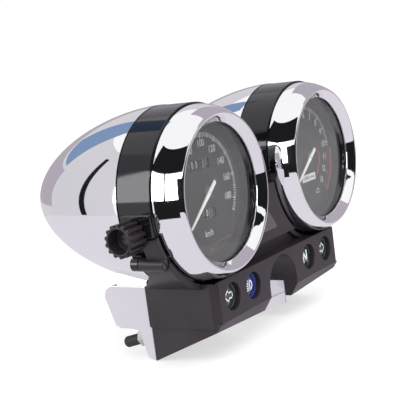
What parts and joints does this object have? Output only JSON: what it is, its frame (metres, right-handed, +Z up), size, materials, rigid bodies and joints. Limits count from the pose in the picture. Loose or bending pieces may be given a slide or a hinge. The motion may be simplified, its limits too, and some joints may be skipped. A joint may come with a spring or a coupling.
{
  "type": "motorcycle instrument cluster",
  "caption": "Speedometer and tachometer in chrome bullet cups over a matt black lamp panel with a chrome rear cover, a trip reset knob and a rubber-bushed bracket.",
  "frame": {"origin": "centre of the bracket's mounting sleeve, on its bore axis", "axes": "+X to the rider's right, +Y forwards away from the rider along the dial axes, +Z up"},
  "size_m": [0.2708, 0.146, 0.1639],
  "materials": {
    "chrome": "polished",
    "black_gloss": "gloss",
    "black_matte": "fine grain",
    "dial_face": "matt printed",
    "needle_white": "matt",
    "inner_plastic": "matt",
    "drum_black": "printed",
    "clear_glass": "clear",
    "steel": "zinc plated",
    "black_steel": "black painted",
    "die_cast": "as cast",
    "rubber": "matt",
    "green_lens": "tinted",
    "blue_lens": "tinted",
    "neutral_lens": "tinted",
    "grey_lens": "smoked",
    "bulb_glass": "clear"
  },
  "bodies": {
    "cluster": {"speedo_bezel": "chrome", "speedo_lens": "clear_glass", "speedo_dial": "dial_face", "speedo_case": "inner_plastic", "speedo_band": "black_gloss", "speedo_cup": "chrome", "speedo_movement": "die_cast", "drive_gearbox": "die_cast", "counter_frame": "steel", "counter_axles": "steel", "knob_boss": "black_gloss", "tacho_bezel": "chrome", "tacho_lens": "clear_glass", "tacho_dial": "dial_face", "tacho_case": "inner_plastic", "tacho_band": "black_gloss", "tacho_cup": "chrome", "tacho_movement": "die_cast", "lens_seals": "rubber", "trim_rings": "inner_plastic", "front_housing": "black_matte", "rear_cover": "chrome", "warning_lens": "grey_lens", "turn_lens_left": "green_lens", "beam_lens": "blue_lens", "neutral_lens": "neutral_lens", "turn_lens_right": "green_lens", "bulbs": "bulb_glass", "bulb_holders": "rubber", "mount_bracket": "black_steel", "mount_bush": "rubber", "mount_sleeve": "steel", "studs": "steel", "stud_nuts": "steel", "stud_caps": "rubber", "saddle_screws": "steel", "bracket_screws": "steel", "harness_grommet": "rubber"},
    "speedo_pointer": {"speedo_needle": "needle_white", "speedo_hub": "inner_plastic", "speedo_spindle": "steel", "drag_cup": "die_cast"},
    "tacho_pointer": {"tacho_needle": "needle_white", "tacho_hub": "inner_plastic", "tacho_spindle": "steel", "tacho_rotor": "steel"},
    "cable_drive": {"drive_shaft": "steel"},
    "magnet": {"magnet_shaft": "steel"},
    "odo_1": {"odo_drum_1": "drum_black"},
    "odo_2": {"odo_drum_2": "drum_black"},
    "odo_3": {"odo_drum_3": "drum_black"},
    "odo_4": {"odo_drum_4": "drum_black"},
    "odo_5": {"odo_drum_5": "drum_black"},
    "trip_reset": {"reset_knob": "black_matte", "knob_screw": "steel", "reset_shaft": "steel"},
    "trip_1": {"trip_drum_1": "drum_black"},
    "trip_2": {"trip_drum_2": "drum_black"},
    "trip_3": {"trip_drum_3": "drum_black"}
  },
  "joints": [
    {"name": "speedo_needle_turn", "type": "hinge", "parent": "cluster", "child": "speedo_pointer", "pos_m": [-0.07, -0.0603, 0.066], "axis": [0, 1, 0], "range_deg": [0, 252], "stiffness_Nm_per_rad": 0.00001, "springref_deg": -22.92},
    {"name": "tacho_needle_turn", "type": "hinge", "parent": "cluster", "child": "tacho_pointer", "pos_m": [0.07, -0.0603, 0.066], "axis": [0, 1, 0], "range_deg": [0, 268], "stiffness_Nm_per_rad": 0.00001, "springref_deg": -22.92},
    {"name": "cable_drive_turn", "type": "hinge", "parent": "cluster", "child": "cable_drive", "pos_m": [-0.07, 0.0092, 0], "axis": [0, 0, 1], "continuous": true},
    {"name": "magnet_turn", "type": "hinge", "parent": "cluster", "child": "magnet", "pos_m": [-0.07, -0.01, 0.066], "axis": [0, 1, 0], "continuous": true},
    {"name": "odo_1_turn", "type": "hinge", "parent": "cluster", "child": "odo_1", "pos_m": [-0.0648, -0.0463, 0.084], "axis": [1, 0, 0], "continuous": true},
    {"name": "odo_2_turn", "type": "hinge", "parent": "cluster", "child": "odo_2", "pos_m": [-0.0694, -0.0463, 0.084], "axis": [1, 0, 0], "continuous": true},
    {"name": "odo_3_turn", "type": "hinge", "parent": "cluster", "child": "odo_3", "pos_m": [-0.074, -0.0463, 0.084], "axis": [1, 0, 0], "continuous": true},
    {"name": "odo_4_turn", "type": "hinge", "parent": "cluster", "child": "odo_4", "pos_m": [-0.0786, -0.0463, 0.084], "axis": [1, 0, 0], "continuous": true},
    {"name": "odo_5_turn", "type": "hinge", "parent": "cluster", "child": "odo_5", "pos_m": [-0.0832, -0.0463, 0.084], "axis": [1, 0, 0], "continuous": true},
    {"name": "reset_turn", "type": "hinge", "parent": "cluster", "child": "trip_reset", "pos_m": [-0.13, -0.0418, 0.051], "axis": [1, 0, 0], "continuous": true},
    {"name": "trip_1_turn", "type": "hinge", "parent": "cluster", "child": "trip_1", "pos_m": [-0.0734, -0.0463, 0.0525], "axis": [1, 0, 0], "continuous": true},
    {"name": "trip_2_turn", "type": "hinge", "parent": "cluster", "child": "trip_2", "pos_m": [-0.0688, -0.0463, 0.0525], "axis": [1, 0, 0], "continuous": true},
    {"name": "trip_3_turn", "type": "hinge", "parent": "cluster", "child": "trip_3", "pos_m": [-0.0642, -0.0463, 0.0525], "axis": [1, 0, 0], "continuous": true}
  ],
  "couplings": [
    {"joint": "magnet_turn", "follows": "cable_drive_turn", "ratio": -1},
    {"joint": "odo_1_turn", "follows": "cable_drive_turn", "ratio": 0.001},
    {"joint": "odo_2_turn", "follows": "cable_drive_turn", "ratio": 0.0001},
    {"joint": "odo_3_turn", "follows": "cable_drive_turn", "ratio": 0.00001},
    {"joint": "odo_4_turn", "follows": "cable_drive_turn", "ratio": 0.000001},
    {"joint": "odo_5_turn", "follows": "cable_drive_turn", "ratio": 0.0000001},
    {"joint": "trip_1_turn", "follows": "reset_turn", "ratio": -1},
    {"joint": "trip_2_turn", "follows": "reset_turn", "ratio": -1},
    {"joint": "trip_3_turn", "follows": "reset_turn", "ratio": -1}
  ]
}
